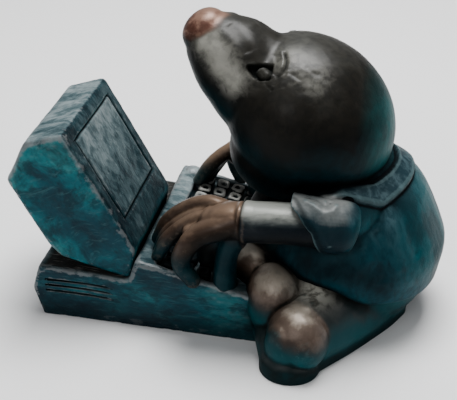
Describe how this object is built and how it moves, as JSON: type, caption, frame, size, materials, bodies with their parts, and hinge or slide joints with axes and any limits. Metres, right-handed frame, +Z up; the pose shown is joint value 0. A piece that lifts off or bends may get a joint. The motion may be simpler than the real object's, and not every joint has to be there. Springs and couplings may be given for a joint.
{
  "type": "garden statue",
  "caption": "Seated mole in a jacket typing at an old desktop computer, cast in one piece with a flat underside.",
  "frame": {"origin": "centre of the bounding box on the ground, under the casting", "axes": "+Z up; the mole looks along -X over the keyboard to the screen; the mole's left side is at -Y"},
  "size_m": [0.2952, 0.2216, 0.2132],
  "materials": {
    "patinated_bronze": "cast bronze, dark brown and blue-green patina with brushed, rubbed highlights"
  },
  "bodies": {
    "root": {"mole_statue": "patinated_bronze"}
  },
  "joints": []
}
